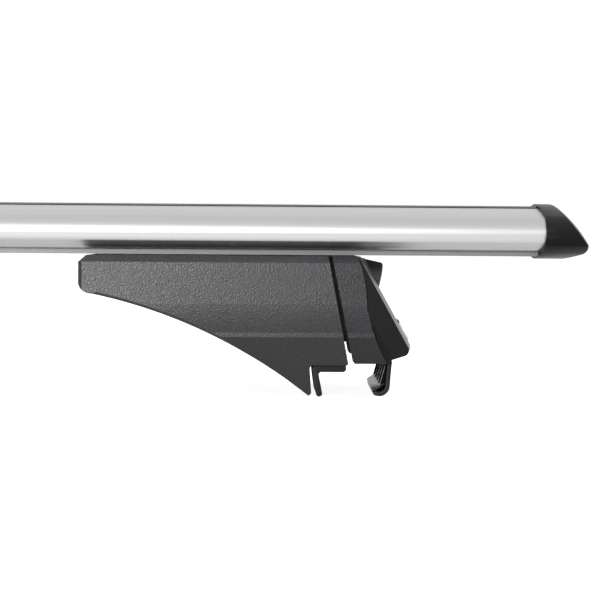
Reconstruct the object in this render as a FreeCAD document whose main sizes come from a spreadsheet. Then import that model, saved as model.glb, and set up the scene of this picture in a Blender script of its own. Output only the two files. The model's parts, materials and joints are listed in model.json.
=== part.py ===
import FreeCAD, Part
import math
import os
import re
import Sketcher
from FreeCAD import Placement, Rotation, Vector

# A roof rack crossbar: an extruded bar with a plug cap at each end, on two clamping feet.
# Bar axis along X, bar centred on X = 0, the viewer at -Y, Z = 0 the plane it stands on.
# Each foot is drawn once in its own frame: x outward along the bar from the middle of the
# rail pad, z up. The right foot lies at +X and the left one is the same foot turned round.

SIZES = {
    # bar extrusion
    "bar_length": 1145,
    "bar_depth": 80,
    "bar_height": 27.2,
    "bar_nose_radius": 8,
    "bar_gap": 0.4,
    "bar_wall": 2,
    "slot_half_width": 10,
    "slot_lip": 2.2,
    "top_mouth": 11,
    "top_slot_depth": 8,
    "low_mouth": 10,
    "low_slot_depth": 7,
    "flange_width": 26,
    "flange_drop": 2.1,
    # rubber strip in the top slot
    "strip_width": 16,
    "strip_proud": 1,
    "strip_play": 0.1,
    "strip_end_gap": 0.3,
    "strip_barb_reach": 1.5,
    "strip_barb_height": 2.5,
    # end caps
    "cap_length": 30.5,
    "cap_overlap": 3,
    "cap_rim": 1.5,
    "cap_nose_radius": 10,
    "cap_bulge_radius": 136,
    "cap_tip_drop": 8.5,
    "cap_top_setback": 19.5,
    "cap_face_radius": 75,
    "cap_top_rounding": 4,
    "cap_tip_radius": 5.8,
    "cap_chin_setback": 14.5,
    "cap_play": 0.15,
    "cap_plug_length": 14,
    "cap_plug_width": 9,
    "cap_plug_height": 14,
    # foot, general
    "foot_setback": 128.5,
    "foot_width": 78,
    "foot_top": 81.8,
    "top_bevel": 3.7,
    "crease_height": 35,
    "crease_lean": 9.7,
    "cover_wall": 2.4,
    "gap_tilt": 10.8,
    "gap_width": 2.3,
    "gap_edge": -1.2,
    "edge_bevel": 1.6,
    # inner cover
    "cover_inner_end": 146,
    "cover_end_chamfer": 4,
    "cover_end_drop": 16.2,
    "cover_end_radius": 7.5,
    "cover_sweep_start": 138.6,
    "cover_sweep_drop": 22.3,
    "cover_sweep_radius": 298,
    "cover_tip_reach": 12.2,
    "cover_tip_height": 0.2,
    "notch_height": 18.3,
    "notch_reach": 11.6,
    "notch_radius": 2,
    "boss_wall": 2.5,
    "inner_boss_reach": 95,
    "inner_boss_drop": 14.8,
    "near_boss_reach": 12,
    "near_boss_drop": 21.8,
    # outer cover
    "outer_bottom": 19.3,
    "outer_bottom_reach": 33.7,
    "s_waist_reach": 21.6,
    "s_waist_height": 51.3,
    "s_lower_radius": 105,
    "s_upper_radius": 100,
    "outer_boss_reach": 14.5,
    "outer_boss_height": 56.5,
    # lid
    "lid_slant": 29,
    "lid_face": 54,
    "lid_bulge": 3.15,
    "lid_wall": 2.2,
    "lid_top_drop": 1.2,
    "lid_bottom_reach": 36.5,
    "lid_bottom_height": 22,
    "lid_bottom_tilt": 17.2,
    "lid_corner_radius": 3.5,
    "parting": 0.35,
    "strip_face": 43.4,
    "strip_face_depth": 2.8,
    "strip_face_run": 7.4,
    "notch_low": 52.5,
    "notch_room": 3.2,
    "notch_corner_radius": 6,
    "notch_flare": 8,
    "notch_flare_drop": 10.3,
    "hinge_reach": 14.4,
    "hinge_drop": 2.6,
    "hinge_pin_radius": 1.3,
    "hinge_end_gap": 0.7,
    "hinge_pin_length": 10.4,
    "hinge_ear_width": 3.7,
    "hinge_play": 0.05,
    "hinge_side_gap": 0.3,
    "hinge_lug_room": 0.6,
    "hinge_slot_back": 3.2,
    # lock
    "lock_reach": 45.2,
    "lock_height": 37.3,
    "lock_radius": 7.75,
    "lock_proud": 0.4,
    "lock_depth": 11.3,
    "lock_boss_wall": 2.45,
    "lock_boss_depth": 9,
    "lock_hole_play": 0.1,
    "plug_radius": 5.2,
    "plug_recess": 0.3,
    "key_slot_width": 1.4,
    "key_slot_height": 6,
    "key_slot_depth": 6,
    "plug_tail_radius": 2.5,
    "plug_tail": 2.8,
    "cam_thickness": 2,
    "cam_length": 17.5,
    "cam_width": 8,
    "run_play": 0.05,
    # rail pad
    "pad_gap": 0.3,
    "pad_thickness": 3.7,
    "pad_corner_radius": 2,
    "pad_left": 10.3,
    "pad_right": 9.7,
    "pad_lip_tip": 7.9,
    "pad_lip_thickness": 3.7,
    "pad_lip_root": 6.3,
    "pad_lip_lean": 1.4,
    "pad_lip_bend": 5.6,
    "pad_root_radius": 1.5,
    "pad_side_gap": 8,
    "pad_peg_radius": 2,
    "pad_peg_spacing": 44,
    # frame
    "frame_wall": 3,
    "frame_side_gap": 6.5,
    "frame_play": 0.2,
    "frame_inner_end": 120,
    "frame_heel_drop": 17.8,
    "frame_outer_end": 11,
    "seat_left": 22,
    "seat_right": 8,
    "throat_height": 31.8,
    "window_half_width": 10,
    "window_start": 15,
    # saddle, bolts and slot plate
    "saddle_inset": 0.2,
    "saddle_room": 0.4,
    "saddle_start": 118,
    "saddle_end": 17,
    "slide_play": 0.05,
    "bolt_far": 95,
    "bolt_near": 35,
    "bolt_radius": 4,
    "bolt_hole_play": 0.3,
    "bolt_head_shoulder": 2.5,
    "bolt_head_height": 5,
    "slot_plate_side_gap": 1.5,
    "slot_plate_thickness": 4,
    "slot_plate_end": 12,
    # clamp screw line
    "screw_reach": 17,
    "screw_line_reach": 29,
    "screw_line_drop": 14.1,
    "screw_tilt": 12.5,
    "screw_radius": 3,
    "screw_hole_play": 0.3,
    "thrust_up": 7.5,
    "thrust_down": 9.5,
    "thrust_shoulder": 3,
    "thrust_side_gap": 1,
    "knob_radius": 10.4,
    "knob_length": 14.6,
    "knob_gap": 0.3,
    "knob_hub_radius": 6.5,
    "knob_hub_length": 1.2,
    "knob_socket_flat": 5,
    "knob_socket_depth": 5,
    "nut_radius": 4.8,
    "nut_side_gap": 1,
    "nut_gap": 0.4,
    "screw_tail": 5,
    # clamp arm
    "strap_thickness": 2.5,
    "jaw_side_gap": 12,
    "shank_side_gap": 21,
    "tab_width": 18,
    "jaw_shoulder_reach": 36.7,
    "jaw_shoulder_height": 20.5,
    "jaw_lean": 5.25,
    "jaw_run": 14.78,
    "jaw_curl_radius": 6.2,
    "jaw_curl": 120,
    "shank_angle": 41.2,
    "tab_face_reach": 9.2,
    "tab_length": 20,
    "jaw_widens": 28.5,
    "tab_widens": 66,
    "tab_slot_low": 65.2,
    "tab_slot_gap": 0.8,
    "pivot_reach": 21.8,
    "pivot_height": 45,
    "pivot_radius": 3,
    "pivot_head_rim": 1.5,
    "pivot_head_thickness": 1.6,
    "pivot_ear_wall": 2.2,
    # jaw lining
    "lining": 1.3,
    "rib_height": 2.3,
    "rib_width": 1.2,
    "rib_count": 5,
    "rib_pitch": 15.6,
    "lip_pad_rise": 33,
    "lip_pad_overhang": 1.5,
    # latch pin and small screws
    "latch_reach": 29.9,
    "latch_height": 46.7,
    "latch_radius": 2.2,
    "latch_ear_wall": 1.4,
    "small_screw_radius": 1.5,
    "small_head_rim": 1.3,
    "small_head_height": 1.8,
}

# Far beyond any face of a foot, for cuts that run out of the solid.
BEYOND = 400

doc = FreeCAD.newDocument("Crossbar")
sheet = doc.addObject("Spreadsheet::Sheet", "Sizes")
for row, (alias, size) in enumerate(SIZES.items(), 1):
    sheet.set("A%d" % row, alias)
    sheet.set("B%d" % row, str(size))
    sheet.setAlias("B%d" % row, alias)
doc.recompute()

# Measures that follow from the sizes. A formula may name them like the sizes themselves.
MEASURES = {
    "flange_bottom": "(foot_top + bar_gap)",
    "bar_centre": "(foot_top + bar_gap + flange_drop + bar_height / 2)",
    "bar_top": "(foot_top + bar_gap + flange_drop + bar_height)",
    "strip_top": "(bar_top + strip_proud)",
    "strip_length": "(bar_length - 2 * cap_overlap - 2 * strip_end_gap)",
    "cap_depth": "(bar_depth + 2 * cap_rim)",
    "cap_top": "(strip_top + cap_rim)",
    "cap_bottom": "(flange_bottom - cap_rim)",
    "cap_tip_height": "(bar_centre - cap_tip_drop)",
    "foot_offset": "(bar_length / 2 - foot_setback)",
    "cover_ceiling": "(foot_top - cover_wall)",
    "cover_end_corner": "(foot_top - cover_end_drop)",
    "cover_sweep_height": "(foot_top - cover_sweep_drop)",
    "inner_boss_height": "(foot_top - inner_boss_drop)",
    "near_boss_height": "(foot_top - near_boss_drop)",
    "frame_top": "(foot_top - cover_wall - frame_play)",
    "frame_under": "(frame_top - frame_wall)",
    "frame_half_width": "(foot_width / 2 - frame_side_gap)",
    "frame_inside": "(frame_half_width - frame_wall)",
    "frame_heel_height": "(foot_top - frame_heel_drop)",
    "pad_width": "(foot_width - pad_side_gap)",
    "pad_low": "(pad_top - pad_thickness)",
    "jaw_width": "(foot_width - jaw_side_gap)",
    "shank_width": "(foot_width - shank_side_gap)",
    "lid_top": "(foot_top - lid_top_drop)",
    "hinge_height": "(foot_top - hinge_drop)",
    "hinge_pin_middle": "(frame_inside - hinge_pin_length / 2 - hinge_end_gap)",
    "screw_line_height": "(foot_top - screw_line_drop)",
    "strip_barb": "(top_mouth / 2 + strip_barb_reach)",
    "boss_radius": "(small_screw_radius + boss_wall)",
    "small_head_radius": "(small_screw_radius + small_head_rim)",
    "notch_half_width": "(knob_radius + notch_room)",
    "hinge_slot_width": "(hinge_ear_width + 2 * hinge_side_gap)",
    "lock_boss_radius": "(lock_radius + lock_boss_wall)",
    "pad_top": "(notch_height - pad_gap)",
    "seat_height": "(notch_height + cover_wall + frame_play)",
    "saddle_width": "(flange_width - 2 * saddle_inset)",
    "slot_plate_width": "(2 * slot_half_width - 2 * slot_plate_side_gap)",
    "bolt_head_flat": "(2 * bolt_radius + 2 * bolt_head_shoulder)",
    "thrust_neck": "(window_half_width - thrust_side_gap)",
    "nut_length": "(tab_width - 2 * nut_side_gap)",
    "tab_slot_width": "(2 * screw_radius + 2 * tab_slot_gap)",
    "pivot_head": "(pivot_radius + pivot_head_rim)",
    "ear_radius": "(pivot_radius + pivot_ear_wall)",
    "latch_ear": "(latch_radius + latch_ear_wall)",
}
HALF_DEPTH = "(bar_depth / 2)"
HALF_HEIGHT = "(bar_height / 2)"


def spell_out(formula):
    """The formula with its measures written as sizes."""
    text = str(formula)
    while any(word in MEASURES for word in re.findall(r"[a-z_]+", text)):
        text = re.sub(r"[a-z_]+", lambda word: MEASURES.get(word[0], word[0]), text)
    return text


def bound(formula):
    """The formula as an expression on the sheet's cells."""
    return re.sub(r"[a-z_]+", lambda word: "Sizes." + word[0] if word[0] in SIZES else word[0],
                  spell_out(formula))


def number(formula):
    """The formula's value now."""
    if isinstance(formula, (int, float)):
        return float(formula)
    return float(sheet.evalExpression(spell_out(formula)))


def bind(thing, **formulas):
    """Ties properties of a feature to the sheet."""
    for name, formula in formulas.items():
        thing.setExpression(name, bound(formula))


def new_body(name):
    return doc.addObject("PartDesign::Body", name)


def sketch_on(body, name, role, base=None, turn=None):
    """A sketch on one of the body's origin planes, moved and turned within it if asked."""
    sketch = body.newObject("Sketcher::SketchObject", name)
    plane = next(feature for feature in body.Origin.OriginFeatures if feature.Role == role)
    sketch.AttachmentSupport = [(plane, "")]
    sketch.MapMode = "FlatFace"
    if turn:
        axis, angle = turn
        sketch.AttachmentOffset = Placement(Vector(), Rotation(axis, number(angle)))
        sketch.setExpression("AttachmentOffset.Rotation.Angle", bound(angle))
    if base:
        for letter, formula in zip("xyz", base):
            sketch.setExpression("AttachmentOffset.Base." + letter, bound(formula))
    return sketch


def minor_arc(start, end, radius):
    """The short arc between two points; a positive radius has its centre to the left."""
    middle = (start + end) / 2
    along = (end - start).normalize()
    half = start.distanceToPoint(end) / 2
    left = Vector(-along.y, along.x, 0)
    height = math.sqrt(max(radius * radius - half * half, 0))
    centre = middle + left * math.copysign(height, radius)
    first, last = (start, end) if radius > 0 else (end, start)
    angles = [math.atan2(p.y - centre.y, p.x - centre.x) for p in (first, last)]
    return Part.ArcOfCircle(Part.Circle(centre, Vector(0, 0, 1), abs(radius)), *angles)


def pin_point(sketch, edge, end, corner):
    """Fixes a vertex at two formulas."""
    for kind, formula in zip(("DistanceX", "DistanceY"), corner):
        index = sketch.addConstraint(Sketcher.Constraint(kind, -1, 1, edge, end, number(formula)))
        sketch.setExpression("Constraints[%d]" % index, bound(formula))


def add_outline(sketch, corners):
    """A closed outline. A corner is (x, y) or (x, y, radius of the arc to the next corner)."""
    first = sketch.GeometryCount
    points = [Vector(number(corner[0]), number(corner[1]), 0) for corner in corners]
    ends = []
    for index, corner in enumerate(corners):
        start, end = points[index], points[(index + 1) % len(points)]
        if len(corner) == 3:
            radius = number(corner[2])
            sketch.addGeometry(minor_arc(start, end, radius))
            ends.append((1, 2) if radius > 0 else (2, 1))
        else:
            sketch.addGeometry(Part.LineSegment(start, end))
            ends.append((1, 2))
    for index, corner in enumerate(corners):
        after = (index + 1) % len(corners)
        sketch.addConstraint(Sketcher.Constraint(
            "Coincident", first + index, ends[index][1], first + after, ends[after][0]))
        pin_point(sketch, first + index, ends[index][0], corner)
    for index, corner in enumerate(corners):
        if len(corner) == 3:
            radius = number(corner[2])
            row = sketch.addConstraint(Sketcher.Constraint("Radius", first + index, abs(radius)))
            sign = "" if radius > 0 else "-"
            sketch.setExpression("Constraints[%d]" % row, bound("%s(%s)" % (sign, corner[2])))
    return sketch


def add_circle(sketch, x, y, radius):
    edge = sketch.addGeometry(Part.Circle(Vector(number(x), number(y), 0), Vector(0, 0, 1), number(radius)))
    pin_point(sketch, edge, 3, (x, y))
    row = sketch.addConstraint(Sketcher.Constraint("Radius", edge, number(radius)))
    sketch.setExpression("Constraints[%d]" % row, bound(radius))
    return sketch


def box_corners(left, low, right, high):
    return [(left, low), (right, low), (right, high), (left, high)]


def pad(body, sketch, length, middle=False, back=False):
    feature = body.newObject("PartDesign::Pad", sketch.Name + "Pad")
    feature.Profile = sketch
    feature.Midplane = middle
    feature.Reversed = back
    bind(feature, Length=length)
    return feature


def pocket(body, sketch, length=None, middle=False, back=False):
    """A cut, through all and both ways unless a length is given."""
    doc.recompute()
    before = body.Shape.Volume
    feature = body.newObject("PartDesign::Pocket", sketch.Name + "Cut")
    feature.Profile = sketch
    if length is None:
        feature.Midplane = True
        feature.Length = 2 * BEYOND
    else:
        feature.Midplane = middle
        feature.Reversed = back
        bind(feature, Length=length)
    doc.recompute()
    if not body.Shape.Volume < before:
        raise ValueError(body.Name + ": " + sketch.Name + " cuts nothing")
    return feature


def revolve(body, sketch, groove=False):
    kind = "PartDesign::Groove" if groove else "PartDesign::Revolution"
    feature = body.newObject(kind, sketch.Name + "Turn")
    feature.Profile = sketch
    feature.ReferenceAxis = (sketch, ["V_Axis"])
    feature.Angle = 360
    return feature


def soften(body, name, size, chooser, kind="Fillet"):
    """Rounds or bevels the edges that the chooser accepts."""
    doc.recompute()
    base = body.Tip
    chosen = ["Edge%d" % (i + 1) for i, edge in enumerate(base.Shape.Edges) if chooser(edge)]
    if not chosen:
        raise ValueError(body.Name + ": no edge for " + name)
    feature = body.newObject("PartDesign::" + kind, name)
    feature.Base = (base, chosen)
    bind(feature, **{"Radius" if kind == "Fillet" else "Size": size})
    return feature


bodies = []


def place(body, side, foot_part=True):
    """Puts a finished body in the assembly; side is 1 for the right end and -1 for the left."""
    turn = Rotation(Vector(0, 0, 1), 0 if side > 0 else 180)
    body.Placement = Placement(Vector(), turn)
    if foot_part:
        bind(body, **{"Placement.Base.x": "foot_offset" if side > 0 else "-foot_offset"})
    body.Label = body.Name
    bodies.append(body)


def side_name(name, side):
    return name + ("_right" if side > 0 else "_left")


# Oval section of the bar and of the caps: crown arcs above and below, nose arcs at the sides.

def crown_radius(half_depth, half_height, nose):
    return "(((%s - %s) ^ 2 + %s ^ 2 - %s ^ 2) / (2 * (%s - %s)))" % (
        half_depth, nose, half_height, nose, half_height, nose)


def oval_point(half_depth, half_height, nose, inset=0):
    """Where crown and nose arcs meet, as offsets from the section's centre."""
    crown = crown_radius(half_depth, half_height, nose)
    run = "((%s - %s) / (%s - %s))" % (half_depth, nose, crown, nose)
    rise = "((%s - %s) / (%s - %s))" % (crown, half_height, crown, nose)
    return ("((%s - %s) * %s)" % (crown, inset, run), "((%s - %s) * %s)" % (nose, inset, rise))


def crown_height(half_depth, half_height, nose, y, inset=0):
    """Height of the crown arc above the section's centre at a distance from its middle."""
    crown = crown_radius(half_depth, half_height, nose)
    return "(%s - %s + sqrt((%s - %s) ^ 2 - (%s) ^ 2))" % (half_height, crown, crown, inset, y)


BAR_OVAL = (HALF_DEPTH, HALF_HEIGHT, "bar_nose_radius")


def make_bar():
    body = new_body("bar")
    crown = crown_radius(*BAR_OVAL)
    join_y, join_z = oval_point(*BAR_OVAL)
    upper = "(bar_centre + %s)" % join_z
    lower = "(bar_centre - %s)" % join_z
    mouth_top = "(bar_centre + %s)" % crown_height(*BAR_OVAL, "top_mouth / 2")
    flange_root = "(bar_centre - %s)" % crown_height(*BAR_OVAL, "flange_width / 2")
    lip_under = "(bar_top - slot_lip)"
    slot_floor = "(bar_top - slot_lip - top_slot_depth)"
    low_lip = "(flange_bottom + slot_lip)"
    low_roof = "(flange_bottom + slot_lip + low_slot_depth)"
    right_side = [
        ("top_mouth / 2", mouth_top, "-" + crown),
        (join_y, upper, "-bar_nose_radius"),
        (join_y, lower, "-" + crown),
        ("flange_width / 2", flange_root),
        ("flange_width / 2", "flange_bottom"),
        ("low_mouth / 2", "flange_bottom"),
        ("low_mouth / 2", low_lip),
        ("slot_half_width", low_lip),
        ("slot_half_width", low_roof),
    ]
    left_side = [
        ("-slot_half_width", low_roof),
        ("-slot_half_width", low_lip),
        ("-low_mouth / 2", low_lip),
        ("-low_mouth / 2", "flange_bottom"),
        ("-flange_width / 2", "flange_bottom"),
        ("-flange_width / 2", flange_root, "-" + crown),
        ("-" + join_y, lower, "-bar_nose_radius"),
        ("-" + join_y, upper, "-" + crown),
        ("-top_mouth / 2", mouth_top),
        ("-top_mouth / 2", lip_under),
        ("-slot_half_width", lip_under),
        ("-slot_half_width", slot_floor),
        ("slot_half_width", slot_floor),
        ("slot_half_width", lip_under),
        ("top_mouth / 2", lip_under),
    ]
    section = sketch_on(body, "BarSection", "YZ_Plane")
    add_outline(section, right_side + left_side)
    pad(body, section, "bar_length", middle=True)

    web = "(slot_half_width + bar_wall)"
    inner_y, inner_z = oval_point(*BAR_OVAL, "bar_wall")
    web_rise = crown_height(*BAR_OVAL, web, "bar_wall")
    inner_crown = "(%s - bar_wall)" % crown
    cells = sketch_on(body, "BarCells", "YZ_Plane")
    for sign in ("", "-"):
        turn = "-" if sign == "" else ""
        add_outline(cells, [
            (sign + web, "bar_centre + " + web_rise, turn + inner_crown),
            (sign + inner_y, "bar_centre + " + inner_z, turn + "(bar_nose_radius - bar_wall)"),
            (sign + inner_y, "bar_centre - " + inner_z, turn + inner_crown),
            (sign + web, "bar_centre - " + web_rise),
        ])
    add_outline(cells, box_corners("-slot_half_width", low_roof + " + bar_wall",
                                   "slot_half_width", slot_floor + " - bar_wall"))
    pocket(body, cells, "bar_length", middle=True)
    place(body, 1, foot_part=False)


def make_strip():
    """Rubber strip: a crown over the slot's mouth, a stem through it and barbs below."""
    body = new_body("top_strip")
    stem = "(top_mouth / 2 - strip_play)"
    under = "(bar_top - slot_lip - strip_play)"
    foot = "(bar_top - slot_lip - strip_barb_height)"
    flat = "(strip_width / 2 - strip_proud)"
    half = [("strip_width / 2", "bar_top"), (flat, "strip_top")]
    right = half[::-1] + [(stem, "bar_top"), (stem, under), ("strip_barb", under), (stem, foot)]
    left = [("-" + y, z) for y, z in reversed(right)]
    section = add_outline(sketch_on(body, "StripSection", "YZ_Plane"), right + left)
    pad(body, section, "strip_length", middle=True)
    place(body, 1, foot_part=False)


# End caps. A cap's own x runs outward from the upright axis of its face's bulge.

def make_end_cap(side):
    body = new_body(side_name("end_cap", side))
    tag = "Right" if side > 0 else "Left"
    height = "((cap_top - cap_bottom) / 2)"
    middle = "((cap_top + cap_bottom) / 2)"
    oval = ("(cap_depth / 2)", height, "cap_nose_radius")
    crown = crown_radius(*oval)
    join_y, join_z = oval_point(*oval)
    shell = sketch_on(body, "CapSection" + tag, "YZ_Plane", base=(0, 0, "cap_bulge_radius - cap_length"))
    add_outline(shell, [
        (join_y, "%s + %s" % (middle, join_z), "-cap_nose_radius"),
        (join_y, "%s - %s" % (middle, join_z), "-" + crown),
        ("-" + join_y, "%s - %s" % (middle, join_z), "-cap_nose_radius"),
        ("-" + join_y, "%s + %s" % (middle, join_z), "-" + crown),
    ])
    pad(body, shell, "cap_length + cap_tip_radius")

    face = sketch_on(body, "CapFace" + tag, "XZ_Plane")
    top_x = "(cap_bulge_radius - cap_top_setback)"
    add_outline(face, [
        (top_x + " - cap_top_rounding", "cap_top + cap_play", "-2 * cap_top_rounding"),
        (top_x, "cap_top - cap_top_rounding / 2", "-cap_face_radius"),
        ("cap_bulge_radius", "cap_tip_height", "-cap_tip_radius"),
        ("cap_bulge_radius - 0.75 * cap_tip_radius", "cap_tip_height - cap_tip_radius"),
        ("cap_bulge_radius - cap_chin_setback", "cap_bottom - cap_play"),
        ("cap_bulge_radius - cap_chin_setback", "cap_bottom - cap_tip_radius"),
        ("cap_bulge_radius + cap_length", "cap_bottom - cap_tip_radius"),
        ("cap_bulge_radius + cap_length", "cap_top + cap_tip_radius"),
        (top_x + " - cap_top_rounding", "cap_top + cap_tip_radius"),
    ])
    revolve(body, face, groove=True)

    seat_x = "cap_bulge_radius - cap_length + cap_overlap"
    outline = sketch_on(body, "CapSeat" + tag, "YZ_Plane", base=(0, 0, seat_x))
    nose = "(bar_nose_radius + cap_play)"
    bar = ("(bar_depth / 2 + cap_play)", "(bar_height / 2 + cap_play)", nose)
    bar_crown = crown_radius(*bar)
    seat_y, seat_z = oval_point(*bar)
    flange = "(flange_width / 2 + cap_play)"
    flange_root = "(bar_centre - %s)" % crown_height(*bar, flange)
    right = [
        (seat_y, "bar_centre + " + seat_z, "-" + nose),
        (seat_y, "bar_centre - " + seat_z, "-" + bar_crown),
        (flange, flange_root),
        (flange, "flange_bottom - cap_play"),
    ]
    left = [
        ("-" + flange, "flange_bottom - cap_play"),
        ("-" + flange, flange_root, "-" + bar_crown),
        ("-" + seat_y, "bar_centre - " + seat_z, "-" + nose),
        ("-" + seat_y, "bar_centre + " + seat_z, "-" + bar_crown),
    ]
    add_outline(outline, right + left)
    pocket(body, outline, "cap_overlap + cap_play", back=False)

    plugs = sketch_on(body, "CapPlugs" + tag, "YZ_Plane", base=(0, 0, seat_x))
    inside = "(slot_half_width + bar_wall + strip_proud)"
    for sign in ("", "-"):
        add_outline(plugs, box_corners(
            sign + inside, "bar_centre - cap_plug_height / 2",
            "%s(%s + cap_plug_width)" % (sign, inside), "bar_centre + cap_plug_height / 2"))
    pad(body, plugs, "cap_plug_length", back=True)
    place(body, side, foot_part=False)
    at = "bar_length / 2 - cap_overlap + cap_length - cap_bulge_radius"
    bind(body, **{"Placement.Base.x": at if side > 0 else "-(%s)" % at})


# Foot covers. Both are the side outline and the cross-section cut to each other, hollowed by a
# core of the same two outlines set in by the wall.

def half_width_at(height, inset="0"):
    """Half the foot's width at a height below the crease."""
    return "(foot_width / 2 - %s - (crease_height - %s) * tan(crease_lean))" % (inset, height)


def trim_section(body, name, inset, roof, bevel):
    """Cuts both sides of a wide block to the foot's cross-section."""
    sketch = sketch_on(body, name, "YZ_Plane")
    beyond = "2 * foot_width"
    low = "(-crease_height)"
    for sign in ("", "-"):
        add_outline(sketch, [
            (sign + half_width_at(low, inset), low),
            ("%s(foot_width / 2 - %s)" % (sign, inset), "crease_height"),
            ("%s(foot_width / 2 - %s)" % (sign, inset), "%s - %s" % (roof, bevel)),
            ("%s(foot_width / 2 - %s - %s)" % (sign, inset, bevel), roof),
            ("%s(foot_width / 2 - %s - %s)" % (sign, inset, bevel), "2 * foot_top"),
            (sign + beyond, "2 * foot_top"),
            (sign + beyond, low),
        ])
    pocket(body, sketch)


def gap_edge_at(height, beyond="0"):
    """The slanted edge between the covers at a height."""
    return "(gap_edge + %s + (foot_top - %s) * tan(gap_tilt))" % (beyond, height)


def cut_core(body, name, corners, roof):
    """Hollows a cover with a core body of its own."""
    core = new_body(name)
    side_view = add_outline(sketch_on(core, name + "Side", "XZ_Plane"), corners)
    pad(core, side_view, "2 * foot_width", middle=True)
    trim_section(core, name + "Section", "cover_wall", roof, "top_bevel / 2")
    doc.recompute()
    cut = body.newObject("PartDesign::Boolean", name + "Cut")
    cut.Type = "Cut"
    cut.setObjects([core])
    doc.recompute()


def add_screw_posts(body, name, posts):
    """Posts from the side walls in to the frame, each with a pilot hole for a small screw."""
    for sign, word in (("", "Far"), ("-", "Near")):
        where = "%s((foot_width / 2 - cover_wall / 2 + frame_half_width) / 2)" % sign
        sketch = sketch_on(body, name + word, "XZ_Plane", base=(0, 0, "-(%s)" % where))
        for x, z in posts:
            add_circle(sketch, x, z, "boss_radius")
        pad(body, sketch, "foot_width / 2 - cover_wall / 2 - frame_half_width", middle=True)
    holes = sketch_on(body, name + "Pilots", "XZ_Plane")
    for x, z in posts:
        add_circle(holes, x, z, "small_screw_radius")
    pocket(body, holes, "foot_width - cover_wall", middle=True)


def make_inner_cover(side):
    body = new_body(side_name("inner_cover", side))
    tag = "Right" if side > 0 else "Left"
    notch_corner = "(-notch_reach + notch_radius)"
    outline = add_outline(sketch_on(body, "InnerSide" + tag, "XZ_Plane"), [
        (gap_edge_at("foot_top"), "foot_top"),
        ("-cover_inner_end + cover_end_chamfer", "foot_top"),
        ("-cover_inner_end", "foot_top - cover_end_chamfer"),
        ("-cover_inner_end", "cover_end_corner", "cover_end_radius"),
        ("-cover_sweep_start", "cover_sweep_height", "-cover_sweep_radius"),
        ("-cover_tip_reach", "cover_tip_height"),
        ("-cover_tip_reach + edge_bevel", "cover_tip_height + edge_bevel"),
        ("-notch_reach", "notch_height - notch_radius", "-notch_radius"),
        (notch_corner, "notch_height"),
        (gap_edge_at("notch_height") + " - edge_bevel / 2", "notch_height"),
        (gap_edge_at("notch_height"), "notch_height + edge_bevel / 2"),
    ])
    pad(body, outline, "foot_width + 2", middle=True)
    trim_section(body, "InnerSection" + tag, "0", "foot_top", "top_bevel")

    def along_lower_curve(edge):
        middle = edge.valueAt((edge.FirstParameter + edge.LastParameter) / 2)
        near_curve = edge.Length > number("cover_sweep_start") / 2 and middle.z < number("cover_sweep_height")
        return near_curve and abs(middle.y) > number("foot_width / 4") and middle.x < -number("notch_reach")

    soften(body, "InnerCurveBevel" + tag, "edge_bevel",
           lambda edge: along_lower_curve(edge) and "Line" not in edge.Curve.TypeId, "Chamfer")
    cut_core(body, "InnerCore" + tag, [
        (gap_edge_at("cover_ceiling", "2 * cover_wall"), "cover_ceiling"),
        ("-cover_inner_end + cover_end_chamfer + cover_wall / 2", "cover_ceiling"),
        ("-cover_inner_end + cover_wall", "foot_top - cover_end_chamfer - cover_wall / 2"),
        ("-cover_inner_end + cover_wall", "cover_end_corner", "cover_end_radius - cover_wall"),
        ("-cover_sweep_start + cover_wall / 4", "cover_sweep_height + cover_wall",
         "-(cover_sweep_radius + cover_wall)"),
        ("-notch_reach - cover_wall", "cover_tip_height + 2.4 * cover_wall"),
        ("-notch_reach - cover_wall", "notch_height + cover_wall"),
        (gap_edge_at("notch_height", "2 * cover_wall"), "notch_height + cover_wall"),
    ], "cover_ceiling")
    saddle = sketch_on(body, "InnerSlot" + tag, "XY_Plane", base=(0, 0, "foot_top + cover_wall"))
    add_outline(saddle, box_corners("-saddle_start - saddle_room", "-saddle_width / 2 - saddle_room",
                                    "gap_width", "saddle_width / 2 + saddle_room"))
    pocket(body, saddle, "3 * cover_wall")
    pegs = sketch_on(body, "InnerPegHoles" + tag, "XY_Plane")
    for sign in ("", "-"):
        add_circle(pegs, "0", sign + "pad_peg_spacing / 2", "pad_peg_radius + strip_play")
    pocket(body, pegs, "notch_height + 2 * cover_wall", back=True)
    add_screw_posts(body, "InnerPosts" + tag, [
        ("-inner_boss_reach", "inner_boss_height"), ("-near_boss_reach", "near_boss_height")])
    place(body, side)


def s_curve(offset, top):
    """The parting line between outer cover and lid, bottom to top, at an offset outward."""
    return [
        ("outer_bottom_reach + " + offset, "outer_bottom", "-s_lower_radius"),
        ("s_waist_reach + " + offset, "s_waist_height", "s_upper_radius"),
        ("hinge_reach + foot_top - hinge_height + " + offset, top),
    ]


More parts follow.
